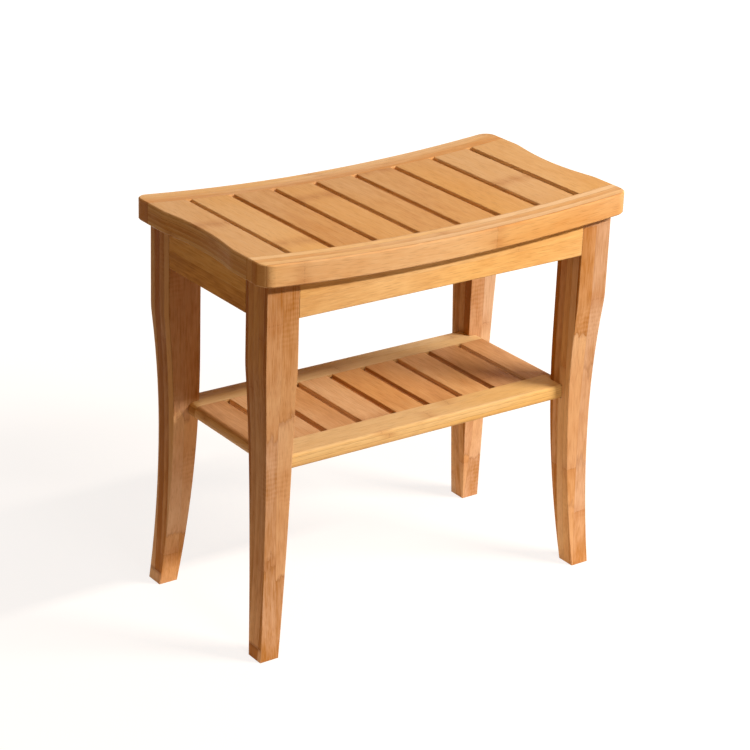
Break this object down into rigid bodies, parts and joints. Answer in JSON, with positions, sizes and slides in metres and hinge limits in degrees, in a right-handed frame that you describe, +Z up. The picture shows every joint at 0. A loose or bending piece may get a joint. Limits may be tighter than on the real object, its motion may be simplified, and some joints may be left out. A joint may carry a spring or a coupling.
{
  "type": "bamboo shower bench",
  "caption": "Bamboo bench for a shower or bathroom: slatted seat that dips in the middle, scalloped ends, curved flared legs and a slatted lower shelf",
  "frame": {"origin": "on the floor, under the middle of the seat", "axes": "+X to the right along the seat's length, +Y to the back, +Z up"},
  "size_m": [0.472, 0.252, 0.4499],
  "materials": {
    "seat_rail_bamboo": "laminated bamboo, sanded smooth, clear satin lacquer",
    "seat_slat_bamboo": "laminated bamboo, sanded smooth, clear satin lacquer",
    "leg_bamboo": "laminated bamboo, sanded smooth, clear satin lacquer",
    "long_apron_bamboo": "laminated bamboo, sanded smooth, clear satin lacquer",
    "side_apron_bamboo": "laminated bamboo, sanded smooth, clear satin lacquer",
    "shelf_rail_bamboo": "laminated bamboo, sanded smooth, clear satin lacquer",
    "shelf_slat_bamboo": "laminated bamboo, sanded smooth, clear satin lacquer",
    "block_bamboo": "laminated bamboo, sanded smooth, clear satin lacquer",
    "dowel_wood": "plain turned beech",
    "screw_steel": "zinc-plated steel"
  },
  "bodies": {
    "root": {"seat_front_rail": "seat_rail_bamboo", "seat_rear_rail": "seat_rail_bamboo", "seat_left_end_slat": "seat_slat_bamboo", "seat_right_end_slat": "seat_slat_bamboo", "seat_slat_1": "seat_slat_bamboo", "seat_slat_2": "seat_slat_bamboo", "seat_slat_3": "seat_slat_bamboo", "seat_slat_4": "seat_slat_bamboo", "seat_slat_5": "seat_slat_bamboo", "seat_slat_6": "seat_slat_bamboo", "seat_slat_7": "seat_slat_bamboo", "front_left_leg": "leg_bamboo", "front_right_leg": "leg_bamboo", "rear_left_leg": "leg_bamboo", "rear_right_leg": "leg_bamboo", "front_apron": "long_apron_bamboo", "rear_apron": "long_apron_bamboo", "left_apron": "side_apron_bamboo", "right_apron": "side_apron_bamboo", "shelf_front_rail": "shelf_rail_bamboo", "shelf_rear_rail": "shelf_rail_bamboo", "shelf_left_end_slat": "shelf_slat_bamboo", "shelf_right_end_slat": "shelf_slat_bamboo", "shelf_slat_1": "shelf_slat_bamboo", "shelf_slat_2": "shelf_slat_bamboo", "shelf_slat_3": "shelf_slat_bamboo", "shelf_slat_4": "shelf_slat_bamboo", "shelf_slat_5": "shelf_slat_bamboo", "shelf_slat_6": "shelf_slat_bamboo", "shelf_slat_7": "shelf_slat_bamboo", "front_left_corner_block": "block_bamboo", "front_right_corner_block": "block_bamboo", "rear_left_corner_block": "block_bamboo", "rear_right_corner_block": "block_bamboo", "shelf_dowels": "dowel_wood", "seat_screws": "screw_steel"}
  },
  "joints": []
}
